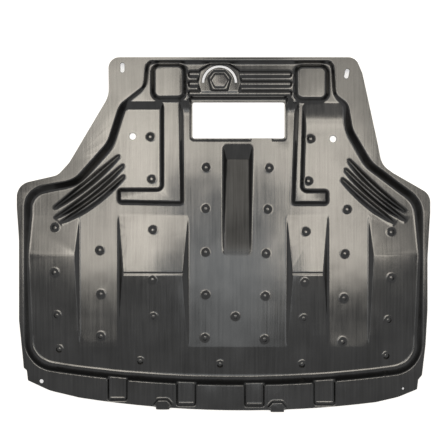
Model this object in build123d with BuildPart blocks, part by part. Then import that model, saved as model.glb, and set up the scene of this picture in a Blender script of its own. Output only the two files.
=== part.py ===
from build123d import *
from math import cos, radians, sin, tan
import os

# Engine splash shield: one moulded sheet, seen from its engine side (+Z).
# +Y points to the rear of the vehicle, the curved front edge is at -Y.
# All sizes are in millimetres. Z is 0 at the lowest point of the underside.

# Sheet and levels, each rise counted from the upper skin of the tray floor
wall = 3.0
front_dip = 4.5
ledge_rise = 11.0
flange_rise = 19.0
pad_rise = 8.0
bead_rise = 5.0
gill_rise = 7.5
stud_rise = 4.5
hump_rise = 11.0
side_hump_rise = 9.0
strake_rise = 16.0
arch_rise = 6.0
pocket_depth = 8.0
tongue_rise = 6.5
lip_depth = 1.5

# Slopes of the walls, in degrees from the vertical
tray_draft = 35.0
ledge_draft = 33.0
pad_draft = 48.0
bead_draft = 42.0
hump_draft = 48.0
strake_draft = 40.0
arch_draft = 25.0
pocket_draft = 28.0
tongue_draft = 12.0
stud_draft = 46.0

# Plan of the sheet. All x positions below are for the width of this outline, and spread with half_width
half_width = 465.0
rear_y = 398.5
front_middle = (37.0, -396.0)
sheet_points = [
    (343.0, -377.5), (392.5, -366.0), (435.5, -348.5), (438.0, -327.0), (446.5, -316.5),
    (454.5, -249.0), (459.0, -170.0), (459.0, -53.0), (465.0, 50.0), (465.0, 90.0),
    (383.0, 137.0), (356.0, 156.0), (347.0, 203.0), (312.5, 362.0), (297.0, rear_y),
    (-259.0, rear_y), (-257.5, 312.0), (-347.0, 161.0), (-373.0, 133.0), (-465.0, 112.0),
    (-465.0, 60.0), (-460.0, -13.0), (-460.0, -193.0), (-450.5, -287.0), (-449.5, -300.0),
    (-442.5, -306.0), (-440.0, -328.5), (-390.5, -351.5), (-323.0, -367.5),
]
sheet_radii = [
    90, 3, 2, 2, 40, 60, 150, 60, 30, 60, 45, 120, 24, 24, 24,
    60, 30, 30, 34, 60, 150, 60, 5, 2, 2, 3, 90,
]

# Plan of the tray, at the level of the flange
tray_half_width = 449.0
tray_rear_y = 391.5
tray_rear_left_x = -175.0
tray_rear_right_x = 248.5
tray_front_middle = (-5.5, -342.5)
tray_points = [
    (tray_half_width, -310.0), (tray_half_width, 76.0), (333.0, 163.0), (291.0, 236.0), (281.0, 294.0),
    (253.0, 314.0), (tray_rear_right_x, tray_rear_y), (tray_rear_left_x, tray_rear_y), (-179.0, 335.0),
    (-235.0, 291.0), (-262.0, 206.0), (-337.0, 122.5), (-tray_half_width, 103.0), (-tray_half_width, -300.0),
]
tray_radii = [65, 60, 60, 26, 26, 16, 16, 30, 38, 70, 60, 50]
tray_corner = 70.0
dip_start_y = -257.0
dip_angle = 3.8

# Ledge across the rear of the tray, with an L-shaped rib down each side
rib_foot_y = 67.0
rib_foot_width = 37.0
left_rib_left_x = -142.5
left_rib_right_x = -90.5
left_foot_end_x = -240.0
right_rib_left_x = 158.0
right_rib_right_x = 184.0
right_foot_end_x = 238.0
ledge_corner = 8.0

# Slopes at the front of the ledge: top and foot
left_slope = (300.0, 285.0)
middle_slope = (309.0, 282.0)
right_slope = (298.0, 249.0)

# Square pads on the ledge
pad_width = 81.0
pad_length = 86.0
pad_corner = 16.0
left_pad = (-123.0, 343.5)
right_pad = (198.0, 341.0)

# Window and its thinner lip
window_low = (-71.0, 218.5)
window_high = (139.5, 300.5)
window_corner = 5.0
lip_width = 5.5
lip_corner = 9.0
lip_tab_left_x = 63.5
lip_tab_right_x = 111.0

# Cross beads on the ledge
bead_width = 15.0
bead_pitch = 21.8
bead_rear_y = 361.5
bead_left_x = -82.0
bead_right_x = 156.0
bead_count = 3

# Arch with a slot through it, between the pads
arch_centre = (-9.0, 341.5)
arch_slot_radius = 37.0
arch_slot_width = 5.2
arch_well_depth = 5.0

# Outlines of the arch, of its well and of the plate in it, from the arch's centre
arch_points = [(21, 44), (-21, 44), (-45, 29), (-51, 0), (-44, -23), (44, -23), (51, 0), (45, 29)]
well_points = [(14, 28), (-14, 28), (-27, 12), (-19, -19), (19, -19), (27, 12)]
plate_points = [(11, 21), (-11, 21), (-20, 6), (-11, -10), (11, -10), (20, 6)]

# Humps across the tray floor: rear foot, crest and front foot
hump_rear_y = 43.5
hump_crest_y = -86.0
groove_depth = 1.6
groove_width = 6.5
side_crest_y = -48.0
left_hump_x = (-243.0, -77.0)
right_hump_x = (141.0, 241.5)
left_side_hump_x = -324.5
right_side_hump_x = 327.0
hump_corner = 8.0

# Centre strake
strake_rear_y = 203.5
strake_crest_y = 168.5
strake_front_y = -48.0
strake_left_x = -3.0
strake_right_x = 68.5
strake_corner = 12.0

# Fastener slots and holes
slot_length = 22.0
slot_width = 9.5
left_slot = (-227.5, 375.0)
right_slot = (277.5, 361.5)
right_slot_turn = -12.0
drain_radius = 7.5
left_drain = (-207.0, 223.0)
right_drain = (249.5, 217.0)
corner_hole_radius = 4.5
corner_hole = (-409.5, -330.5)
pilot_hole_radius = 2.5
pilot_hole = (404.0, -347.0)

# Pockets in the front flange: left side, right side, front side
pocket_corner = 7.0
pocket_length = 70.0
pockets = [
    (-261.5, -215.5, -375.0),
    (-107.0, -61.0, -386.5),
    (46.0, 93.0, -388.5),
    (202.0, 252.5, -385.0),
]

# Clip tongues on the front edge: middle, rear side, front side
tongue_width = 30.0
tongue_ear = 7.5
tongue_ear_y = 10.0
tongue_rear_width = 22.0
tongue_reach = 23.0
tongues = [(-136.5, -393.0), (120.5, -rear_y)]

# Round studs, one line for each file from the rear to the front
stud_radius = 8.5
stud_flats = 8
stud_sink = 1.0
floor_studs = [
    (-281.0, -36.0), (-278.5, -136.0), (-278.5, -231.5),
    (-166.5, 221.5), (-163.5, 125.5),
    (-39.5, 152.0), (-40.5, 58.5), (-40.5, -40.5), (-40.5, -137.0), (-42.0, -235.0),
    (27.0, -186.5),
    (104.0, 150.5), (100.5, 57.0), (96.5, -43.0), (94.5, -140.0), (93.0, -238.5),
    (198.5, 217.0), (193.5, 121.0),
    (281.0, 56.5), (276.0, -44.0), (273.5, -145.0), (270.0, -243.5),
]
hump_studs = [
    (-160.5, 9.5), (-160.5, -102.0), (-159.0, -186.0),
    (187.0, 5.0), (183.5, -107.0), (181.5, -190.0),
]
side_hump_studs = [
    (-382.0, 14.5), (-382.0, -86.0), (-378.0, -183.5),
    (380.5, 4.5), (379.5, -98.0), (374.0, -194.5),
]
dip_studs = [(-373.5, -261.0), (-189.5, -288.0), (-8.0, -295.5), (179.0, -295.5), (370.0, -276.0)]

# Gills, each a curved lens whose tips are cut off: one end, the middle of the crest, the other end
gill_width = 17.0
gill_tip = 22.0
left_gills = [
    ((-386.0, 61.0), (-308.0, 116.0), (-238.0, 181.0)),
    ((-386.0, 39.5), (-302.0, 90.0), (-229.0, 161.0)),
    ((-374.0, 28.0), (-292.5, 75.0), (-227.0, 136.5)),
]
right_gills = [
    ((286.0, 172.5), (343.0, 105.5), (416.5, 55.0)),
    ((277.5, 150.5), (336.0, 89.5), (417.5, 32.5)),
    ((269.5, 128.0), (325.0, 73.5), (391.0, 26.0)),
]

floor_level = wall + front_dip
reach = 2 * half_width
outline_half_width = max(x for x, y in sheet_points)


def across(x):
    """A position across the sheet, spread in step with its half width."""
    return x * half_width / outline_half_width


def spread(points):
    """Plan points, each moved across in step with the half width."""
    return [(across(x), y) for x, y in points]


def around(centre, points):
    """Points given from a centre, which alone is spread."""
    return [(across(centre[0]) + x, centre[1] + y) for x, y in points]


def skin_shift(depth, draft):
    """How far a slanted wall moves sideways when the skin moves down by depth."""
    return depth * (1 - sin(radians(draft))) / cos(radians(draft))


def outline(points, radius):
    """A closed face through the points with rounded corners."""
    with BuildSketch() as face:
        with BuildLine():
            FilletPolyline(*points, radius=radius, close=True)
        make_face()
    return face.sketch


def polygon(points):
    """A closed face through the points with sharp corners."""
    with BuildSketch() as face:
        with BuildLine():
            Polyline(*points, close=True)
        make_face()
    return face.sketch


def rectangle(left, right, front, rear, radius):
    """A rounded rectangle between the four sides."""
    with BuildSketch() as face:
        with Locations(((left + right) / 2, (front + rear) / 2)):
            RectangleRounded(right - left, rear - front, radius)
    return face.sketch


def raised(face, base, rise, draft, depth):
    """A form that stands up from base, narrower under the lower skin."""
    with BuildPart() as form:
        with BuildSketch(Plane.XY.offset(base - depth)):
            add(face)
            if depth:
                offset(amount=-skin_shift(depth, draft), kind=Kind.INTERSECTION)
        extrude(amount=rise, taper=draft)
    return form.part


def sunk(face, top, fall, draft, depth):
    """A form that goes down from top, wider under the lower skin."""
    with BuildPart() as form:
        with BuildSketch(Plane.XY.offset(top - depth)):
            add(face)
            if depth:
                offset(amount=skin_shift(depth, draft), kind=Kind.INTERSECTION)
        extrude(amount=-fall, taper=draft)
    return form.part


def side_profile(points, left, right, depth):
    """A side view, as (y, z) points, carried across from left to right."""
    with BuildPart() as form:
        with BuildSketch(Plane.YZ.offset(left)):
            with BuildLine():
                Polyline(*[(y, z - depth) for y, z in points], close=True)
            make_face()
        extrude(amount=right - left)
    return form.part


def tray_floor(depth):
    """The space of the tray, with the front of its floor running down."""
    points = spread(tray_points)
    with BuildSketch() as plan:
        with BuildLine():
            FilletPolyline(*points, radius=tray_radii)
            ThreePointArc(points[-1], *spread([tray_front_middle]), points[0])
        make_face()
        fillet(plan.vertices().sort_by(Axis.Y)[:2], radius=tray_corner)
    flange_level = floor_level + flange_rise
    space = sunk(plan.sketch, flange_level, flange_rise + front_dip, tray_draft, depth)
    dip_end_y = dip_start_y - front_dip / tan(radians(dip_angle))
    above_floor = side_profile(
        [
            (reach, floor_level),
            (dip_start_y, floor_level),
            (dip_end_y, floor_level - front_dip),
            (-reach, floor_level - front_dip),
            (-reach, flange_level + wall),
            (reach, flange_level + wall),
        ],
        -reach, reach, depth,
    )
    return space & above_floor


def slope(left, right, high_y, low_y, depth):
    """A gentle slope that falls from under the ledge's edge to the floor, towards the front."""
    ledge = floor_level + ledge_rise
    foot = floor_level - stud_sink
    points = [
        (high_y + ledge_rise, ledge),
        (high_y, ledge),
        (low_y, floor_level),
        (low_y, foot),
        (high_y + ledge_rise, foot),
    ]
    return side_profile(points, across(left), across(right), depth)


def hollow_slope(left, right, high_y, low_y, depth):
    """A slope that is steep at the ledge and runs out flush with the floor."""
    ledge = floor_level + ledge_rise - depth
    floor = floor_level - depth
    foot = floor - stud_sink
    run = high_y - low_y
    bend = (run ** 2 + ledge_rise ** 2) / (2 * ledge_rise)
    under = high_y + ledge_rise
    with BuildPart() as form:
        with BuildSketch(Plane.YZ.offset(across(left))):
            with BuildLine():
                RadiusArc((high_y, ledge), (low_y, floor), bend)
                Polyline((low_y, floor), (low_y, foot), (under, foot), (under, ledge), (high_y, ledge))
            make_face()
        extrude(amount=across(right) - across(left))
    return form.part


def ledge_forms(depth):
    """The ledge, its two L-shaped ribs and the slopes at its front side."""
    wing = half_width - tray_rear_right_x
    points = [
        (-wing, rear_y + wall),
        (-wing - pad_width, left_slope[0]),
        (left_rib_left_x, left_slope[0]),
        (left_rib_left_x, rib_foot_y + rib_foot_width),
        (left_foot_end_x, rib_foot_y + rib_foot_width),
        (left_foot_end_x, rib_foot_y + wall),
        (left_rib_right_x, rib_foot_y),
        (left_rib_right_x - wall, middle_slope[0]),
        (right_rib_left_x + 2 * wall, middle_slope[0]),
        (right_rib_left_x - wall, rib_foot_y),
        (right_foot_end_x, rib_foot_y),
        (right_foot_end_x, rib_foot_y + rib_foot_width - wall),
        (right_rib_right_x - wall, rib_foot_y + rib_foot_width - wall),
        (right_rib_right_x + wall, right_slope[0]),
        (wing + pad_width, right_slope[0]),
        (wing + pad_width, rear_y + wall),
    ]
    forms = [raised(outline(spread(points), ledge_corner), floor_level, ledge_rise, ledge_draft, depth)]
    forms.append(slope(-wing - pad_width, left_rib_left_x + wall, *left_slope, depth))
    forms.append(hollow_slope(right_rib_right_x - wall, wing + pad_width, *right_slope, depth))
    forms.append(slope(left_rib_right_x - 2 * wall, window_low[0] - lip_width, *middle_slope, depth))
    forms.append(slope(window_high[0] + lip_width, right_rib_left_x + 2 * wall, *middle_slope, depth))
    return forms


def humps(depth):
    """The two humps with a grooved crest, and the two along the tray's sides."""
    base = floor_level - wall
    sole = base - front_dip
    groove_y = hump_crest_y - groove_width
    crest = floor_level + hump_rise
    middle = side_profile(
        [
            (hump_rear_y + wall, sole),
            (hump_rear_y + wall, base),
            (hump_rear_y, floor_level),
            (hump_crest_y, crest),
            (hump_crest_y - groove_depth, crest - groove_depth),
            (groove_y, crest),
            (dip_start_y, floor_level),
            (dip_start_y, sole),
        ],
        -reach, reach, depth,
    )
    side = side_profile(
        [
            (hump_rear_y + wall, sole),
            (hump_rear_y + wall, base),
            (hump_rear_y, floor_level),
            (side_crest_y, floor_level + side_hump_rise),
            (dip_start_y, floor_level),
            (dip_start_y, sole),
        ],
        -reach, reach, depth,
    )
    forms = []
    front = dip_start_y - 4 * wall
    rear = hump_rear_y + 4 * wall
    for left, right in (left_hump_x, right_hump_x):
        plan = rectangle(across(left), across(right), front, rear, hump_corner)
        forms.append(raised(plan, base, hump_rise + 2 * wall, hump_draft, depth) & middle)
    wing = tray_half_width + wall
    for left, right in ((-wing, left_side_hump_x), (right_side_hump_x, wing)):
        plan = rectangle(across(left), across(right), front, rear, hump_corner)
        forms.append(raised(plan, base, side_hump_rise + 2 * wall, hump_draft, depth) & side)
    return forms


def strake(depth):
    """The centre strake: a steep rear face and a long fall to the front."""
    base = floor_level - wall
    profile = side_profile(
        [
            (strake_rear_y, base),
            (strake_rear_y, floor_level),
            (strake_crest_y, floor_level + strake_rise),
            (strake_front_y, floor_level),
            (strake_front_y, base),
        ],
        -reach, reach, depth,
    )
    points = [
        (strake_right_x, strake_rear_y + wall),
        (strake_left_x, strake_rear_y + wall),
        (strake_left_x, strake_front_y - wall),
        (strake_right_x - 2 * wall, strake_front_y - wall),
    ]
    plan = outline(spread(points), strake_corner)
    return raised(plan, base, strake_rise + 2 * wall, strake_draft, depth) & profile


def ledge_trim(depth):
    """The square pads, the cross beads and the arch that stand on the ledge."""
    ledge = floor_level + ledge_rise
    forms = []
    for x, y in spread([left_pad, right_pad]):
        half = pad_width / 2
        plan = rectangle(x - half, x + half, y - pad_length / 2, y + pad_length / 2, pad_corner)
        forms.append(raised(plan, ledge, pad_rise, pad_draft, depth))
    left = across(bead_left_x)
    right = across(bead_right_x)
    for row in range(bead_count):
        y = bead_rear_y - row * bead_pitch
        with BuildSketch() as plan:
            with Locations(((left + right) / 2, y)):
                Rectangle(right - left, bead_width)
            chamfer(plan.vertices(), bead_width / 3)
        forms.append(raised(plan.sketch, ledge, bead_rise, bead_draft, depth))
    plan = polygon(around(arch_centre, arch_points))
    forms.append(raised(plan, ledge, arch_rise, arch_draft, depth))
    return forms


def arch_well(depth):
    """The sunken panel inside the arch, with its small raised plate."""
    top = floor_level + ledge_rise + arch_rise
    floor = top - arch_well_depth
    plate = polygon(around(arch_centre, plate_points))
    panel = raised(plate, floor, arch_well_depth / 2, arch_draft, depth)
    well = polygon(around(arch_centre, well_points))
    return sunk(well, top, arch_well_depth, arch_draft, depth) - panel


def gill(start, middle, end, depth):
    """A bead along a curve, wide in the middle and blunt at its ends."""
    start, middle, end = [Vector(*point) for point in spread([start, middle, end])]
    along = (end - start).normalized()
    tip = along * gill_tip
    side = tip.rotate(Axis.Z, 90)
    half = along.rotate(Axis.Z, 90) * (gill_width / 2)
    with BuildSketch() as plan:
        with BuildLine():
            ThreePointArc(start - tip, middle - half, end + tip)
            ThreePointArc(end + tip, middle + half, start - tip)
        make_face()
    lens = raised(plan.sketch, floor_level, gill_rise, bead_draft, depth)
    blunt = polygon([start - side, end - side, end + side, start + side])
    return lens & raised(blunt, floor_level, gill_rise, bead_draft, depth)


def stud(x, y, level, depth):
    """A low round stud on the surface at the given level, with flats for its round."""
    foot_radius = stud_radius + stud_sink * tan(radians(stud_draft))
    with BuildSketch() as plan:
        with Locations((across(x), y)):
            RegularPolygon(foot_radius, stud_flats, major_radius=False)
    return raised(plan.sketch, level - stud_sink, stud_rise + stud_sink, stud_draft, depth)


def between(value, start, end):
    """How far value lies from start to end, from 0 to 1."""
    return (value - start) / (end - start)


def studs(depth):
    """All the round studs, each on the surface under it."""
    forms = [stud(x, y, floor_level, depth) for x, y in floor_studs]
    groups = ((hump_studs, hump_crest_y, hump_rise), (side_hump_studs, side_crest_y, side_hump_rise))
    for places, crest_y, rise in groups:
        for x, y in places:
            foot_y = hump_rear_y if y > crest_y else dip_start_y
            forms.append(stud(x, y, floor_level + rise * between(y, foot_y, crest_y), depth))
    for x, y in dip_studs:
        fall = (dip_start_y - y) * tan(radians(dip_angle))
        forms.append(stud(x, y, floor_level - fall, depth))
    return forms


def pocket_spaces(depth):
    """The pockets in the front flange, open to the tray."""
    forms = []
    for left, right, front in pockets:
        plan = rectangle(across(left), across(right), front, front + pocket_length, pocket_corner)
        forms.append(sunk(plan, floor_level + flange_rise, pocket_depth, pocket_draft, depth))
    return forms


def tongue(x, front, depth):
    """A clip tongue that rises from the flange and reaches past its edge, with an ear at each side."""
    half = tongue_width / 2
    ear = half + tongue_ear
    rear = tongue_rear_width / 2
    points = [
        (-half, 0),
        (half, 0),
        (half, tongue_ear_y - wall),
        (ear, tongue_ear_y),
        (rear, tongue_reach),
        (-rear, tongue_reach),
        (-ear, tongue_ear_y),
        (-half, tongue_ear_y - wall),
    ]
    plan = polygon(around((x, front), points))
    return raised(plan, floor_level + flange_rise, tongue_rise, tongue_draft, depth)


def relief(plan, depth):
    """The solid under one skin of the sheet: the upper at depth 0, the lower at depth wall."""
    flange_level = floor_level + flange_rise - depth
    with BuildPart() as body:
        with BuildSketch(Plane.XY.offset(-2 * wall - depth)):
            add(plan)
        extrude(amount=flange_level + 2 * wall + depth)
        add(tray_floor(depth), mode=Mode.SUBTRACT)
        add(ledge_forms(depth) + humps(depth) + [strake(depth)])
        add(ledge_trim(depth))
        add([gill(*points, depth) for points in left_gills + right_gills])
        add(studs(depth))
        add(pocket_spaces(depth) + [arch_well(depth)], mode=Mode.SUBTRACT)
        add([tongue(x, front, depth) for x, front in tongues])
    return body.part


with BuildSketch() as sheet_plan:
    corners = spread(sheet_points)
    with BuildLine():
        FilletPolyline(*corners, radius=sheet_radii)
        ThreePointArc(corners[-1], *spread([front_middle]), corners[0])
    make_face()

with BuildSketch() as cutting_plan:
    Rectangle(2 * reach, 2 * reach)

window_left = across(window_low[0])
window_right = across(window_high[0])
with BuildSketch() as lip_plan:
    add(rectangle(
        window_left - lip_width,
        window_right + lip_width,
        window_low[1] - lip_width,
        window_high[1] - lip_width,
        lip_corner,
    ))
    with Locations((across((lip_tab_left_x + lip_tab_right_x) / 2), window_low[1] - lip_width)):
        Rectangle(across(lip_tab_right_x - lip_tab_left_x), 2 * lip_width, mode=Mode.SUBTRACT)

with BuildPart() as splash_shield:
    add(relief(sheet_plan.sketch, 0))
    add(relief(cutting_plan.sketch, wall), mode=Mode.SUBTRACT)
    with BuildSketch(Plane.XY.offset(floor_level - lip_depth)):
        add(lip_plan.sketch)
    extrude(amount=flange_rise, mode=Mode.SUBTRACT)
    with BuildSketch(Plane.XY.offset(-wall)):
        add(rectangle(window_left, window_right, window_low[1], window_high[1], window_corner))
        with BuildLine():
            CenterArc(*around(arch_centre, [(0, 0)]), arch_slot_radius, 0, 180)
        trace(line_width=arch_slot_width)
        with Locations(spread([left_slot])):
            SlotOverall(slot_length, slot_width, rotation=90)
        with Locations(spread([right_slot])):
            SlotOverall(slot_length, slot_width, rotation=90 + right_slot_turn)
        with Locations(spread([left_drain, right_drain])):
            Circle(drain_radius)
        with Locations(spread([corner_hole])):
            Circle(corner_hole_radius)
        with Locations(spread([pilot_hole])):
            Circle(pilot_hole_radius)
    extrude(amount=2 * flange_rise + 2 * wall, mode=Mode.SUBTRACT)

os.makedirs("parts", exist_ok=True)
splash_shield.part.label = "splash_shield"
export_step(splash_shield.part, "parts/splash_shield.step")
print("solids", len(splash_shield.part.solids()), "size", splash_shield.part.bounding_box())
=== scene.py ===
import math

import bpy
import numpy as np
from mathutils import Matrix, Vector
from mathutils.bvhtree import BVHTree
from mathutils.geometry import delaunay_2d_cdt


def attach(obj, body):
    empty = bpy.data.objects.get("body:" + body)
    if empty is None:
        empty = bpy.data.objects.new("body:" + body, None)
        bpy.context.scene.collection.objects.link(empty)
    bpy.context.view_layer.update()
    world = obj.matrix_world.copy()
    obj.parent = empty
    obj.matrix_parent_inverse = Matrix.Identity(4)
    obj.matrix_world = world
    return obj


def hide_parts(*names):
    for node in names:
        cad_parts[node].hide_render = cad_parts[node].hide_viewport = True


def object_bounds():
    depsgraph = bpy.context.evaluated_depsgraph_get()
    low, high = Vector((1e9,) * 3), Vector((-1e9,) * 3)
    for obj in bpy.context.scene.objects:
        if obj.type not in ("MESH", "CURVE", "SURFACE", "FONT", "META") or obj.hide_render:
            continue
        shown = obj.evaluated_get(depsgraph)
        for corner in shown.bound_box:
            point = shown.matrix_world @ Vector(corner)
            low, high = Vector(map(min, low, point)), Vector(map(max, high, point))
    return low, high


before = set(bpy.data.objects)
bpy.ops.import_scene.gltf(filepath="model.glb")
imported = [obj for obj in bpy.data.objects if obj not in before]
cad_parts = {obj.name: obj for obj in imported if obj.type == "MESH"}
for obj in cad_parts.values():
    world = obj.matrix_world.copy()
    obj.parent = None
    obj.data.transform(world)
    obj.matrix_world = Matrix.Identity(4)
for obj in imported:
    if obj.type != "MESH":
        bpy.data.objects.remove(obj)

# Blender's start objects go before the box is taken, because it would count the cube.
for name in ("Cube", "Light", "Camera"):
    if name in bpy.data.objects:
        bpy.data.objects.remove(bpy.data.objects[name])
cad_low, cad_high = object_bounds()

# Everything is in metres, in the frame of the CAD model: +Y is the shield's rear, the top of the photograph.
NODE = "splash_shield"
TINY = 1e-12

# Both skins of the solid are read at the points of a grid, which goes a little past its box.
GRID = 0.0014
MARGIN = 6 * GRID
XS = np.arange(cad_low.x - MARGIN, cad_high.x + MARGIN, GRID)
YS = np.arange(cad_low.y - MARGIN, cad_high.y + MARGIN, GRID)
RAY_START = 0.05

# Rounding of all folds, of the feet of walls, of the front wall's foot, and of the sheet's edges
SOFTEN = 0.0008
FOOT_SOFTEN = 0.0019
FRONT_FOOT_SOFTEN = 0.0046
EDGE_ROUND = 0.0006
# Points along an edge: nearest and widest spacing, most they leave its line, and the halvings to find one
EDGE_NEAREST, EDGE_LONGEST = 0.0008, 0.006
EDGE_TOLERANCE = 0.00003
EDGE_HALVINGS = 12
# Points of the plan that lie closer than this are one, and triangles are asked for over the whole plan
SAME_POINT, WHOLE_PLAN = 1e-7, 0
# Triangles of the finished mesh, and the kinds of face while it is made
TRIANGLES = 190000
UPPER, UNDER, RIM = 0, 1, 2

# Heights of the upper skin, as in the CAD model
FLOOR_TOP = 0.0075
LEDGE_TOP = 0.0185
FLANGE_TOP = 0.0265
POCKET_FLOOR = 0.0185

# Slopes up from the floor to the ledge: left and right side, foot, rise for each metre, rounding of the foot
RIGHT_SLOPE = (0.181, 0.300, 0.2560, 0.262, 0.0075)
WINDOW_SLOPES = [
    (-0.0965, -0.0768, 0.282, 0.407, 0.0035),
    (0.1452, 0.1660, 0.282, 0.407, 0.0035),
]
WINDOW_SLOPES_REAR = 0.309
# A slope is made from this many roundings in front of its foot to this far behind it
SLOPE_START, SLOPE_LENGTH = 5, 0.06
# Corners where a slope runs into a rib: side, front, way across from the side, width and length
TURNS = [
    (-0.1425, 0.285, 1, 0.0071, 0.015),
    (0.1945, 0.2805, -1, 0.0175, 0.0185),
]

# Pads on the ledge: left, right, front and rear side
PADS = [(-0.1635, -0.0825, 0.3005, 0.3865), (0.1575, 0.2385, 0.2980, 0.3840)]
PAD_RISE = 0.012
PAD_WALL = 0.0096
PAD_CORNER = 0.0215
# The wall behind the ledge: its upper edge, and its rise for each metre
REAR_WALL_EDGE, REAR_WALL_RISE = 0.3915, 1.428

# Gills: one end, the middle of the crest, the other end
GILLS = [
    ((-0.3860, 0.0610), (-0.3080, 0.1160), (-0.2380, 0.1810)),
    ((-0.3860, 0.0395), (-0.3020, 0.0900), (-0.2290, 0.1610)),
    ((-0.3740, 0.0280), (-0.2925, 0.0750), (-0.2270, 0.1365)),
    ((0.2860, 0.1725), (0.3430, 0.1055), (0.4165, 0.0550)),
    ((0.2775, 0.1505), (0.3360, 0.0895), (0.4175, 0.0325)),
    ((0.2695, 0.1280), (0.3250, 0.0735), (0.3910, 0.0260)),
]
GILL_HALF_WIDTH = 0.0085
GILL_FADE = 0.001
# The share by which gills grow, and the height above the floor up to which the solid's forms count as gills
GILL_GROWTH, GILL_TALLEST = 0.3, 0.0078

# The floor's front strip falls to the front: where it starts, its fall for each metre, its lowest height
STRIP_START, STRIP_FALL, STRIP_LOWEST = -0.257, 0.0664, 0.003
# The tray's upper edge: the arc of its front side, and half its width
FRONT_CENTRE, FRONT_RADIUS = (-0.004, 2.3645), 2.707
TRAY_HALF_WIDTH = 0.449
# The tray's wall lies within these distances of the front side, of a side, and of both together
FRONT_WALL, SIDE_WALL, CORNER_WALL = 0.028, 0.026, 0.090
# The wall gets steeper from the first to the second place along Y
STEEPER_FROM = (-0.20, -0.29)
# Shares of the wall's height that steepening cuts: at its foot, and at both ends together
FOOT_CUT, BOTH_CUTS = 0.235, 0.455
# Pockets in the front flange: left and right side
POCKETS = [(-0.2615, -0.2155), (-0.107, -0.061), (0.046, 0.093), (0.202, 0.2525)]
POCKET_MARGIN = 0.001

# The strake: left, right, front and rear side, and the crest's height at places along it
STRAKE = (-0.004, 0.070, -0.044, 0.2035)
STRAKE_PLACES, STRAKE_HEIGHTS = (-0.048, 0.1685, 0.2035), (0, 0.016, 0)
STRAKE_STEEPER = 1.75

# Valleys between the humps: left side, right side, front end and corner
VALLEYS = [(-0.327, -0.234, -0.2460, 0.026), (0.236, 0.332, -0.2560, 0.026)]
VALLEY_RISE = 0.0013
VALLEY_RAMP = 0.065
# The rise fades beside a valley, by the distance past its sides, and in front of it, by the place along Y
VALLEY_SIDE_FADE = (0.050, 0.010)
VALLEY_FRONT_FADE = (-0.335, -0.262)

WHITE = (1, 1, 1, 1)
PLASTIC_COLOUR = (0.003, 0.003, 0.003, 1)
PLASTIC_IOR = 1.5
# How the streaks' noise is stretched, so that they run from front to rear
STREAK_STRETCH = (1.0, 0.03, 0.3)
# Streaks and patches together go over this range, and roughness and sheen over theirs
BLEND_RANGE = (0.6, 1.4)
ROUGHNESS = (0.13, 0.20)
SHEEN = (0.36, 0.58)
# Painted shade on the strake's top, a duller patch that renders it darker: where it fades in from each side,
# and how much rougher and less shiny it is
PAINTED_SHADE_X = ((0.001, 0.008), (0.068, 0.061))
PAINTED_SHADE_Y = ((-0.056, -0.014), (0.1705, 0.1675))
PAINTED_SHADE_ROUGHER, PAINTED_SHADE_LESS_SHINY = 0.28, -0.22

FLOOR_SIZE, FLOOR_GAP = 8, 0.0004
FLOOR_COLOUR = (0.72, 0.72, 0.72, 1)
FLOOR_ROUGHNESS, FLOOR_SHEEN = 0.9, 0.1
# The floor's glow and the world's strength, for most rays and for those that show the background
FLOOR_GLOW = (0, 0.6)
WORLD_LIGHT = (0.1, 1.0)

CEILING = 2.5
WARM = (1.0, 0.93, 0.81)
NEUTRAL = (0.94, 0.98, 1.0)
# Left, right, front and rear side of each panel, its radiance and its colour
PANELS = {
    "left": (-1.05, -0.38, -0.28, -0.06, 12.0, WARM),
    "left_middle": (-1.05, -0.38, -0.06, 0.12, 9.5, WARM),
    "left_front": (-1.05, -0.38, -0.385, -0.28, 3.0, WARM),
    "left_rear": (-0.65, -0.38, 0.12, 0.68, 16.5, WARM),
    "left_shoulder": (-1.10, -0.65, 0.12, 0.36, 5.0, WARM),
    "left_outer": (-1.25, -0.65, 0.36, 0.68, 5.6, WARM),
    "left_far": (-0.95, -0.15, 0.68, 1.15, 9.8, WARM),
    "right": (0.38, 1.05, -0.28, -0.06, 13.0, WARM),
    "right_middle": (0.38, 1.05, -0.06, 0.12, 10.0, WARM),
    "right_front": (0.38, 1.05, -0.385, -0.28, 2.6, WARM),
    "right_rear": (0.38, 0.82, 0.12, 0.60, 13.5, WARM),
    "right_outer": (0.82, 1.25, 0.12, 0.60, 3.0, WARM),
    "right_far": (0.38, 0.95, 0.60, 1.15, 5.6, WARM),
    "middle_rear": (-0.38, 0.38, 0.31, 0.68, 10.5, WARM),
    "middle": (-0.38, 0.38, -0.09, 0.31, 1.7, NEUTRAL),
    "middle_front": (-0.38, 0.38, -0.385, -0.09, 3.3, NEUTRAL),
    "front": (-0.20, 0.28, -0.85, -0.385, 1.8, NEUTRAL),
}
# An unturned camera looks straight down.
CAMERA_PLACE = (0, 0.0244, 1.525)
LENS, SENSOR_WIDTH = 53.67, 36


def skin_heights(solid, way):
    """Height of a skin at each grid point, and where it has one.
    The way is 1 for the upper skin and -1 for the lower."""
    start = cad_high.z + RAY_START if way > 0 else cad_low.z - RAY_START
    towards = Vector((0, 0, -way))
    heights = np.zeros((len(XS), len(YS)))
    found = np.zeros(heights.shape, bool)
    for i, x in enumerate(XS):
        for j, y in enumerate(YS):
            hit = solid.ray_cast((x, y, start), towards)[0]
            if hit is not None:
                heights[i, j] = hit.z
                found[i, j] = True
    return heights, found


def soften(heights, found, width):
    """Rounds the folds of a skin over about the width, and carries it a little past its edge."""
    sigma = width / GRID
    reach = math.ceil(3 * sigma)
    offsets = range(-reach, reach + 1)
    weights = [math.exp(-0.5 * (k / sigma) ** 2) for k in offsets]
    total = np.where(found, heights, 0.0)
    mass = found.astype(float)
    for axis in (0, 1):
        total = sum(w * np.roll(total, k, axis) for k, w in zip(offsets, weights))
        mass = sum(w * np.roll(mass, k, axis) for k, w in zip(offsets, weights))
    return total / np.maximum(mass, TINY)


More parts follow.
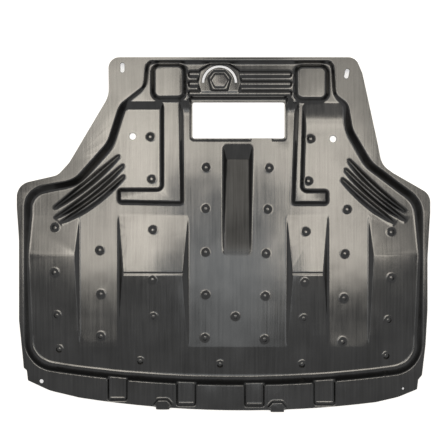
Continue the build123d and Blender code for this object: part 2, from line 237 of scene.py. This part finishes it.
def arc_distance(x, y, start, middle, end):
    """How far each point lies from the arc through three points, or a metre where it is past its ends."""
    a, b, c = (np.array(point) for point in (start, middle, end))
    centre = np.linalg.solve(2 * np.array([b - a, c - a]), [b @ b - a @ a, c @ c - a @ a])
    away = np.abs(np.hypot(x - centre[0], y - centre[1]) - np.linalg.norm(a - centre))
    chord = np.linalg.norm(c - a)
    along = (c - a) / chord
    place = (x - a[0]) * along[0] + (y - a[1]) * along[1]
    return np.where((place < 0) | (place > chord), 1.0, away)


def smooth(values, start, end):
    """A smooth change from 0 to 1 as the values go from start to end."""
    t = np.clip((values - start) / (end - start), 0, 1)
    return t * t * (3 - 2 * t)


def rounded_slope(heights, on_sheet, x, y, left, right, foot, rise, rounding):
    """A slope with a rounded foot in place of the plain one."""
    ramp = FLOOR_TOP + rise * rounding * np.log1p(np.exp((y - foot) / rounding))
    ramp = np.minimum(ramp, LEDGE_TOP)
    zone = (x > left) & (x < right) & (y > foot - SLOPE_START * rounding) & (y < foot + SLOPE_LENGTH)
    return np.where(zone & on_sheet, np.maximum(heights, ramp), heights)


def rounded_turn(heights, x, y, side, front, way, width, length):
    """A rounded corner where a slope runs into a rib."""
    across, along = way * (x - side) / width, (y - front) / length
    turn = FLOOR_TOP + (LEDGE_TOP - FLOOR_TOP) * np.minimum(np.hypot(across, along), 1)
    corner = (across > 0) & (across < 1) & (along > 0) & (along < 1)
    return np.where(corner, np.maximum(heights, turn), heights)


def rounded_pad(heights, x, y, left, right, front, rear):
    """A higher pad with rounder corners and steeper sides in place of the plain one."""
    side = np.abs(x - (left + right) / 2) - (right - left) / 2 + PAD_CORNER
    end = np.abs(y - (front + rear) / 2) - (rear - front) / 2 + PAD_CORNER
    away = np.hypot(np.maximum(side, 0), np.maximum(end, 0))
    away = away + np.minimum(np.maximum(side, end), 0) - PAD_CORNER
    base = np.maximum(LEDGE_TOP, FLANGE_TOP - REAR_WALL_RISE * (REAR_WALL_EDGE - y))
    for low, high, foot, rise, _ in WINDOW_SLOPES:
        beside = (x > low) & (x < high) & (y < WINDOW_SLOPES_REAR)
        base = np.where(beside, FLOOR_TOP + rise * (y - foot), base)
    inside = (x > left) & (x < right) & (y > front) & (y < rear)
    made = LEDGE_TOP + PAD_RISE * np.clip(-away / PAD_WALL, 0, 1)
    return np.where(inside, np.maximum(base, made), heights)


def steeper_front(heights, on_sheet, x, y):
    """The tray's front wall made steeper: its foot moves forward and its upper edge back."""
    floor = np.clip(FLOOR_TOP + STRIP_FALL * (y - STRIP_START), STRIP_LOWEST, FLOOR_TOP)
    from_front = FRONT_RADIUS - np.hypot(x - FRONT_CENTRE[0], y - FRONT_CENTRE[1])
    from_side = TRAY_HALF_WIDTH - np.abs(x)
    wall = (from_front < FRONT_WALL) | (from_side < SIDE_WALL) | (from_front + from_side < CORNER_WALL)
    share = smooth(y, *STEEPER_FROM) * wall
    t = (heights - floor) / (FLANGE_TOP - floor)
    steep = np.clip((t - FOOT_CUT * share) / (1 - BOTH_CUTS * share), 0, 1)
    pocket = (POCKET_FLOOR - floor) / (FLANGE_TOP - floor)
    for left, right in POCKETS:
        inside = (x > left - POCKET_MARGIN) & (x < right + POCKET_MARGIN)
        steep = np.where(inside, np.minimum(steep, np.maximum(pocket, t)), steep)
    moves = (share > 0) & (t > 0) & (t < 1)
    heights = np.where(moves, floor + steep * (FLANGE_TOP - floor), heights)
    wide = soften(heights, on_sheet, FRONT_FOOT_SOFTEN)
    lower = on_sheet & (heights < (floor + FLANGE_TOP) / 2)
    return heights + share * lower * np.maximum(wide - heights, 0)


def steeper_strake(heights, x, y):
    """The strake's long walls made steeper, so that its top is wider."""
    left, right, front, rear = STRAKE
    crest = np.interp(y, STRAKE_PLACES, STRAKE_HEIGHTS)
    inside = (x > left) & (x < right) & (y > front) & (y < rear)
    rise = np.minimum(STRAKE_STEEPER * (heights - FLOOR_TOP), np.maximum(crest, heights - FLOOR_TOP))
    return np.where(inside, FLOOR_TOP + rise, heights)


def valley_end(x, y, left, right, front, corner):
    """How far the floor has risen at a valley's rounded front end, as a share, and in front of it."""
    from_middle = np.abs(x - (left + right) / 2)
    half = (right - left) / 2
    side = np.clip(from_middle - (half - corner), 0, corner)
    end = front + corner - np.sqrt(corner ** 2 - side ** 2)
    outer, inner = VALLEY_SIDE_FADE
    near = smooth(from_middle, half + outer, half + inner)
    return np.clip(1 - (y - end) / VALLEY_RAMP, 0, 1) ** 2 * near * smooth(y, *VALLEY_FRONT_FADE)


def taller_gill(heights, low, x, y, points):
    """A gill made taller, where the skin is low enough to be one."""
    reach = GILL_HALF_WIDTH + GILL_FADE
    share = np.clip((reach - arc_distance(x, y, *points)) / GILL_FADE + 1, 0, 1)
    return heights + GILL_GROWTH * share * low * np.maximum(heights - FLOOR_TOP, 0)


def shaped(heights, on_sheet):
    """The upper skin with the forms that the solid keeps plain."""
    x, y = np.meshgrid(XS, YS, indexing="ij")
    for slope in (RIGHT_SLOPE, *WINDOW_SLOPES):
        heights = rounded_slope(heights, on_sheet, x, y, *slope)
    for pad in PADS:
        heights = rounded_pad(heights, x, y, *pad)
    for turn in TURNS:
        heights = rounded_turn(heights, x, y, *turn)
    heights = steeper_front(heights, on_sheet, x, y)
    heights = steeper_strake(heights, x, y)
    for valley in VALLEYS:
        heights = heights + VALLEY_RISE * valley_end(x, y, *valley)
    low = heights < FLOOR_TOP + GILL_TALLEST
    for points in GILLS:
        heights = taller_gill(heights, low, x, y, points)
    return heights


class Field:
    """A height over the grid, read at any point between its samples."""

    def __init__(self, heights):
        self.heights = heights
        self.step = XS[1] - XS[0]
        self.slope_x, self.slope_y = np.gradient(heights, self.step)

    def read(self, grid, x, y):
        """The grid's value at each point, which is kept just inside the last cells."""
        u = np.clip((x - XS[0]) / self.step, 0, grid.shape[0] - 1.001)
        v = np.clip((y - YS[0]) / self.step, 0, grid.shape[1] - 1.001)
        i, j = u.astype(int), v.astype(int)
        u, v = u - i, v - j
        near = grid[i, j] * (1 - v) + grid[i, j + 1] * v
        far = grid[i + 1, j] * (1 - v) + grid[i + 1, j + 1] * v
        return near * (1 - u) + far * u

    def height(self, x, y):
        return self.read(self.heights, x, y)

    def normal(self, x, y):
        n = np.stack([-self.read(self.slope_x, x, y), -self.read(self.slope_y, x, y), np.ones(len(x))], 1)
        return n / np.linalg.norm(n, axis=1, keepdims=True)


def moulded(heights, on_sheet, way):
    """The skin with soft feet where its walls rise, and crisper crests.
    The way is 1 for the upper skin and -1 for the lower."""
    feet = soften(heights, on_sheet, FOOT_SOFTEN)
    filled = np.where(on_sheet, way * np.maximum(way * heights, way * feet), feet)
    return Field(soften(filled, on_sheet, SOFTEN))


def edge_loops(solid, on_sheet):
    """The sheet's outline and the rim of each opening, as closed loops of points in plan."""
    above = cad_high.z + RAY_START
    down = Vector((0, 0, -1))
    points = {}

    def crossing(on, off):
        """The point where the sheet ends, between one on it and one off it."""
        for _ in range(EDGE_HALVINGS):
            middle = ((on[0] + off[0]) / 2, (on[1] + off[1]) / 2)
            if solid.ray_cast((*middle, above), down)[0] is not None:
                on = middle
            else:
                off = middle
        return ((on[0] + off[0]) / 2, (on[1] + off[1]) / 2)

    def mark(a, b):
        """The key of the edge's point between two samples of the grid, one of them on the sheet."""
        key = (min(a, b), max(a, b))
        if key not in points:
            on, off = (a, b) if on_sheet[a] else (b, a)
            points[key] = crossing((XS[on[0]], YS[on[1]]), (XS[off[0]], YS[off[1]]))
        return key

    follows = {}
    count = on_sheet.astype(int)
    count = count[:-1, :-1] + count[1:, :-1] + count[1:, 1:] + count[:-1, 1:]
    for i, j in zip(*np.nonzero((count > 0) & (count < 4))):
        ring = [(i, j), (i + 1, j), (i + 1, j + 1), (i, j + 1)]
        steps = [(ring[n], ring[(n + 1) % 4]) for n in range(4)]
        leaves = [n for n, (a, b) in enumerate(steps) if on_sheet[a] and not on_sheet[b]]
        enters = [n for n, (a, b) in enumerate(steps) if not on_sheet[a] and on_sheet[b]]
        for n in leaves:
            back = min(enters, key=lambda m: (m - n) % 4)
            start, end = mark(*steps[n]), mark(*steps[back])
            follows[end] = start
    loops = []
    while follows:
        key, after = follows.popitem()
        loop = [key]
        while after != loop[0]:
            loop.append(after)
            after = follows.pop(after)
        loops.append(np.array([points[k] for k in loop]))
    return loops


def thin_out(loop):
    """Drops the points of a loop that its line doesn't need, and those that crowd."""
    gaps = np.linalg.norm(loop - np.roll(loop, 1, 0), axis=1)
    loop = loop[gaps > EDGE_NEAREST]
    kept = [0]
    k = 0
    while k < len(loop) - 1:
        step = 1
        while k + step + 1 < len(loop):
            run = loop[k + step + 1] - loop[k]
            length = math.hypot(*run)
            between = loop[k + 1:k + step + 1] - loop[k]
            away = np.abs(between[:, 0] * run[1] - between[:, 1] * run[0]) / length
            if length > EDGE_LONGEST or away.max() > EDGE_TOLERANCE:
                break
            step += 1
        k += step
        kept.append(k)
    return loop[kept]


def drawn_in(loop):
    """A loop moved in plan towards the sheet, by the rounding of its edge."""
    along = np.roll(loop, -1, 0) - np.roll(loop, 1, 0)
    along /= np.maximum(np.linalg.norm(along, axis=1, keepdims=True), TINY)
    outwards = np.stack([-along[:, 1], along[:, 0]], 1)
    return loop - outwards * EDGE_ROUND


def inside_rings(points, rings):
    """Whether each point lies on the sheet, by how many of the rings' sides lie to one side of it."""
    odd = np.zeros(len(points), bool)
    for ring in rings:
        for a, b in zip(ring, np.roll(ring, -1, 0)):
            crosses = (a[1] > points[:, 1]) != (b[1] > points[:, 1])
            if crosses.any():
                at = a[0] + (points[:, 1] - a[1]) * (b[0] - a[0]) / (b[1] - a[1])
                odd ^= crosses & (points[:, 0] < at)
    return odd


def sheet_plan(on_sheet, loops):
    """The sheet in plan: points, triangles and, for each loop, the number of its first point."""
    inside = on_sheet.copy()
    for di in (-1, 0, 1):
        for dj in (-1, 0, 1):
            inside &= np.roll(on_sheet, (di, dj), (0, 1))
    full = inside[:-1, :-1] & inside[1:, :-1] & inside[1:, 1:] & inside[:-1, 1:]
    kept = np.zeros(inside.shape, bool)
    for di in (0, 1):
        for dj in (0, 1):
            kept[di:di + full.shape[0], dj:dj + full.shape[1]] |= full
    index = -np.ones(kept.shape, int)
    index[kept] = np.arange(kept.sum())
    i, j = np.nonzero(full)
    quads = np.stack([index[i, j], index[i + 1, j], index[i + 1, j + 1], index[i, j + 1]], 1)
    i, j = np.nonzero(kept)
    total = len(i)
    rings = [drawn_in(loop) for loop in loops]
    plan = np.concatenate([np.stack([XS[i], YS[j]], 1), *rings])
    starts = []
    edges = []
    for ring in rings:
        k = np.arange(len(ring))
        starts.append(total)
        edges.append(np.stack([k, np.roll(k, -1)], 1) + total)
        total += len(ring)

    # Triangles fill the band between the whole cells and the rings.
    sides = np.concatenate([quads[:, [k, (k + 1) % 4]] for k in range(4)])
    code = np.sort(sides, 1) @ np.array([total, 1])
    _, first, times = np.unique(code, return_index=True, return_counts=True)
    edges = np.concatenate([*edges, sides[first[times == 1]]])
    used = np.unique(edges)
    local = np.zeros(total, int)
    local[used] = np.arange(len(used))
    corners, _, faces, origins, _, _ = delaunay_2d_cdt(
        [Vector(p) for p in plan[used]], local[edges].tolist(), [], WHOLE_PLAN, SAME_POINT)
    label = np.array([used[same[0]] if same else -1 for same in origins])
    crossings = np.flatnonzero(label < 0)
    label[crossings] = total + np.arange(len(crossings))
    plan = np.concatenate([plan, np.array([corners[k] for k in crossings]).reshape(-1, 2)])
    band = label[np.array(faces)]
    middle = plan[band].mean(1)
    ci = np.clip(((middle[:, 0] - XS[0]) / GRID).astype(int), 0, full.shape[0] - 1)
    cj = np.clip(((middle[:, 1] - YS[0]) / GRID).astype(int), 0, full.shape[1] - 1)
    band = band[~full[ci, cj] & inside_rings(middle, rings)]
    triangles = np.concatenate([quads[:, [0, 1, 2]], quads[:, [0, 2, 3]], band])
    a, b, c = (plan[triangles[:, k]] for k in range(3))
    turned = (b[:, 0] - a[:, 0]) * (c[:, 1] - a[:, 1]) < (b[:, 1] - a[:, 1]) * (c[:, 0] - a[:, 0])
    triangles[turned] = triangles[turned][:, ::-1]
    return plan, triangles, starts


def closed_sheet(top, bottom, on_sheet, loops):
    """Points, faces and kinds of face of the closed sheet: both skins, and a rounded rim round every edge."""
    plan, triangles, starts = sheet_plan(on_sheet, loops)
    n = len(plan)
    high = top.height(plan[:, 0], plan[:, 1])
    low = bottom.height(plan[:, 0], plan[:, 1])
    points = [np.column_stack([plan, high]), np.column_stack([plan, low])]
    faces = [triangles, triangles[:, ::-1] + n]
    kinds = [np.full(len(triangles), UPPER), np.full(len(triangles), UNDER)]
    total = 2 * n
    for start, loop in zip(starts, loops):
        count = len(loop)
        upper = high[start:start + count] - EDGE_ROUND
        lower = low[start:start + count] + EDGE_ROUND
        points += [np.column_stack([loop, upper]), np.column_stack([loop, lower])]
        k = np.arange(count)
        rows = [start + k, total + k, total + count + k, n + start + k]
        for above, below in zip(rows, rows[1:]):
            a, b, c, d = above, np.roll(above, -1), np.roll(below, -1), below
            faces += [np.stack([b, a, d], 1), np.stack([b, d, c], 1)]
            kinds += [np.full(2 * count, RIM)]
        total += 2 * count
    return np.concatenate(points), np.concatenate(faces), np.concatenate(kinds)


def make_mesh(name, points, faces, kinds):
    """A mesh of triangles, whose kinds are their material numbers."""
    mesh = bpy.data.meshes.new(name)
    mesh.vertices.add(len(points))
    mesh.vertices.foreach_set("co", points.ravel())
    mesh.loops.add(3 * len(faces))
    mesh.loops.foreach_set("vertex_index", faces.ravel())
    mesh.polygons.add(len(faces))
    mesh.polygons.foreach_set("loop_start", np.arange(0, 3 * len(faces), 3))
    mesh.polygons.foreach_set("material_index", kinds)
    mesh.update(calc_edges=True)
    for _ in (UPPER, UNDER, RIM):
        mesh.materials.append(None)
    return mesh


def values_of(items, name, width, kind=float):
    """One attribute of all of a mesh's items, in one row."""
    values = np.empty(width * len(items), kind)
    items.foreach_get(name, values)
    return values


def shade_as_moulded(mesh, top, bottom):
    """Gives each point the true normal of its skin, also where few triangles are left."""
    n = len(mesh.vertices)
    points = values_of(mesh.vertices, "co", 3).reshape(-1, 3)
    corner = values_of(mesh.loops, "vertex_index", 1, int)
    kinds = np.repeat(values_of(mesh.polygons, "material_index", 1, int), 3)
    flat = np.repeat(values_of(mesh.polygons, "normal", 3).reshape(-1, 3), 3, 0)
    rim = np.zeros((n, 3))
    np.add.at(rim, corner[kinds == RIM], flat[kinds == RIM])
    rim /= np.maximum(np.linalg.norm(rim, axis=1, keepdims=True), TINY)
    up = top.normal(points[:, 0], points[:, 1])
    down = -bottom.normal(points[:, 0], points[:, 1])
    on_top = np.zeros(n, bool)
    on_top[corner[kinds == UPPER]] = True
    under = np.zeros(n, bool)
    under[corner[kinds == UNDER]] = True
    normals = np.where(on_top[:, None], up, np.where(under[:, None], down, rim))
    mesh.normals_split_custom_set_from_vertices(normals.tolist())


def thinned(points, faces, kinds):
    """The mesh with at most as many triangles as are wanted."""
    dense = bpy.data.objects.new("dense_sheet", make_mesh("dense_sheet", points, faces, kinds))
    bpy.context.scene.collection.objects.link(dense)
    if len(faces) > TRIANGLES:
        thinner = dense.modifiers.new("thinner", "DECIMATE")
        thinner.ratio = TRIANGLES / len(faces)
    mesh = bpy.data.meshes.new_from_object(dense.evaluated_get(bpy.context.evaluated_depsgraph_get()))
    bpy.data.objects.remove(dense)
    return mesh


def moulded_sheet(cad):
    """The shield as one closed sheet, read from the solid and shaped."""
    solid = BVHTree.FromObject(cad, bpy.context.evaluated_depsgraph_get())
    heights, on_sheet = skin_heights(solid, 1)
    top = moulded(shaped(heights, on_sheet), on_sheet, 1)
    bottom = moulded(skin_heights(solid, -1)[0], on_sheet, -1)
    loops = [thin_out(loop) for loop in edge_loops(solid, on_sheet)]
    mesh = thinned(*closed_sheet(top, bottom, on_sheet, loops))
    shade_as_moulded(mesh, top, bottom)
    mesh.polygons.foreach_set("material_index", np.zeros(len(mesh.polygons), int))
    mesh.materials.clear()
    mesh.polygons.foreach_set("use_smooth", np.ones(len(mesh.polygons), bool))
    sheet = bpy.data.objects.new("moulded_sheet", mesh)
    bpy.context.scene.collection.objects.link(sheet)
    return sheet


def node(tree, kind, **values):
    """A new shader node with its settings."""
    made = tree.nodes.new(kind)
    for key, value in values.items():
        setattr(made, key, value)
    return made


def spread(tree, value, start, end, low, high, **values):
    """Changes from low to high as the value goes from start to end."""
    change = node(tree, "ShaderNodeMapRange", **values)
    for name, number in (("From Min", start), ("From Max", end), ("To Min", low), ("To Max", high)):
        change.inputs[name].default_value = number
    tree.links.new(value, change.inputs["Value"])
    return change.outputs["Result"]


def fade(tree, value, start, end):
    """A smooth change from 0 to 1 as the value goes from start to end."""
    return spread(tree, value, start, end, 0, 1, interpolation_type="SMOOTHSTEP")


def combined(tree, operation, *values):
    """The values taken together by an operation, one after the other."""
    total = values[0]
    for value in values[1:]:
        both = node(tree, "ShaderNodeMath", operation=operation)
        tree.links.new(total, both.inputs[0])
        tree.links.new(value, both.inputs[1])
        total = both.outputs["Value"]
    return total


def changed(tree, value, amount, share):
    """The value plus the amount times the share."""
    change = node(tree, "ShaderNodeMath", operation="MULTIPLY_ADD")
    change.inputs[1].default_value = amount
    tree.links.new(share, change.inputs[0])
    tree.links.new(value, change.inputs[2])
    return change.outputs["Value"]


def noise(tree, vector, scale, detail):
    """A noise over the vector."""
    texture = node(tree, "ShaderNodeTexNoise")
    texture.inputs["Scale"].default_value = scale
    texture.inputs["Detail"].default_value = detail
    tree.links.new(vector, texture.inputs["Vector"])
    return texture.outputs["Fac"]


def new_material(name):
    """A material, its node tree and its shader."""
    material = bpy.data.materials.new(name)
    material.use_nodes = True
    return material, material.node_tree, material.node_tree.nodes["Principled BSDF"]


def plastic():
    """Black moulded plastic: satin to glossy, with flow streaks from front to rear, and painted shade on the
    strake's top.
    """
    material, tree, shader = new_material("moulded_plastic")
    link = tree.links.new
    shader.inputs["Base Color"].default_value = PLASTIC_COLOUR
    shader.inputs["IOR"].default_value = PLASTIC_IOR
    place = node(tree, "ShaderNodeTexCoord").outputs["Object"]
    stretched = node(tree, "ShaderNodeMapping")
    stretched.inputs["Scale"].default_value = STREAK_STRETCH
    link(place, stretched.inputs["Vector"])
    streaks = noise(tree, stretched.outputs["Vector"], scale=260.0, detail=3.0)
    patches = noise(tree, place, scale=14.0, detail=4.0)
    blend = combined(tree, "ADD", streaks, patches)

    # Painted shade: the strake's top is made rougher and less shiny, so that it renders darker.
    sides = node(tree, "ShaderNodeSeparateXYZ")
    link(place, sides.inputs["Vector"])
    x, y = sides.outputs["X"], sides.outputs["Y"]
    fades = [fade(tree, x, *span) for span in PAINTED_SHADE_X] + [fade(tree, y, *span) for span in PAINTED_SHADE_Y]
    painted_shade = combined(tree, "MULTIPLY", *fades)
    for name, span, amount in (
        ("Roughness", ROUGHNESS, PAINTED_SHADE_ROUGHER),
        ("Specular IOR Level", SHEEN, PAINTED_SHADE_LESS_SHINY),
    ):
        varied = spread(tree, blend, *BLEND_RANGE, *span)
        link(changed(tree, varied, amount, painted_shade), shader.inputs[name])

    # Relief, from fine to coarse: height, strength and distance
    normal = None
    for height, strength, distance in (
        (noise(tree, place, scale=900.0, detail=2.0), 0.02, 0.0004),
        (streaks, 0.12, 0.0006),
        (noise(tree, place, scale=14.0, detail=1.0), 1.0, 0.0006),
    ):
        relief = node(tree, "ShaderNodeBump")
        relief.inputs["Strength"].default_value = strength
        relief.inputs["Distance"].default_value = distance
        link(height, relief.inputs["Height"])
        if normal is not None:
            link(normal, relief.inputs["Normal"])
        normal = relief.outputs["Normal"]
    link(normal, shader.inputs["Normal"])
    return material


def seen_ray(tree):
    """1 for the rays that show the background: the camera's, and those in gloss and glass."""
    rays = node(tree, "ShaderNodeLightPath")
    kinds = ("Is Camera Ray", "Is Glossy Ray", "Is Transmission Ray")
    return combined(tree, "MAXIMUM", *(rays.outputs[kind] for kind in kinds))


def pale_floor():
    """A pale floor that shows near white, and keeps the shadow."""
    material, tree, shader = new_material("pale_floor")
    shader.inputs["Base Color"].default_value = FLOOR_COLOUR
    shader.inputs["Roughness"].default_value = FLOOR_ROUGHNESS
    shader.inputs["Specular IOR Level"].default_value = FLOOR_SHEEN
    shader.inputs["Emission Color"].default_value = WHITE
    glow = spread(tree, seen_ray(tree), 0, 1, *FLOOR_GLOW)
    tree.links.new(glow, shader.inputs["Emission Strength"])
    return material


def white_world():
    """White to the camera and in reflections, a low fill for the rest."""
    world = bpy.data.worlds.new("studio")
    bpy.context.scene.world = world
    world.use_nodes = True
    tree = world.node_tree
    background = tree.nodes["Background"]
    background.inputs["Color"].default_value = WHITE
    strength = spread(tree, seen_ray(tree), 0, 1, *WORLD_LIGHT)
    tree.links.new(strength, background.inputs["Strength"])


def panel(name, left, right, front, rear, radiance, colour):
    """A soft light panel under the ceiling, facing straight down."""
    light = bpy.data.lights.new(name, "AREA")
    light.shape = "RECTANGLE"
    light.size = right - left
    light.size_y = rear - front
    light.energy = radiance * math.pi * (right - left) * (rear - front)
    light.color = colour
    lamp = bpy.data.objects.new(name, light)
    bpy.context.scene.collection.objects.link(lamp)
    lamp.location = ((left + right) / 2, (front + rear) / 2, CEILING)
    lamp.visible_camera = False


shield = moulded_sheet(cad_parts[NODE])
shield.data.materials.append(plastic())
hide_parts(NODE)
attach(shield, "root")

bpy.ops.mesh.primitive_plane_add(size=FLOOR_SIZE, location=(0, 0, cad_low.z - FLOOR_GAP))
floor = bpy.context.object
floor.name = "floor"
floor.data.materials.append(pale_floor())

white_world()
for name, values in PANELS.items():
    panel(name + "_panel", *values)

camera_data = bpy.data.cameras.new("camera")
camera_data.sensor_width = SENSOR_WIDTH
camera_data.lens = LENS
camera = bpy.data.objects.new("camera", camera_data)
bpy.context.scene.collection.objects.link(camera)
camera.location = CAMERA_PLACE
bpy.context.scene.camera = camera
bpy.context.scene.view_settings.view_transform = "Standard"
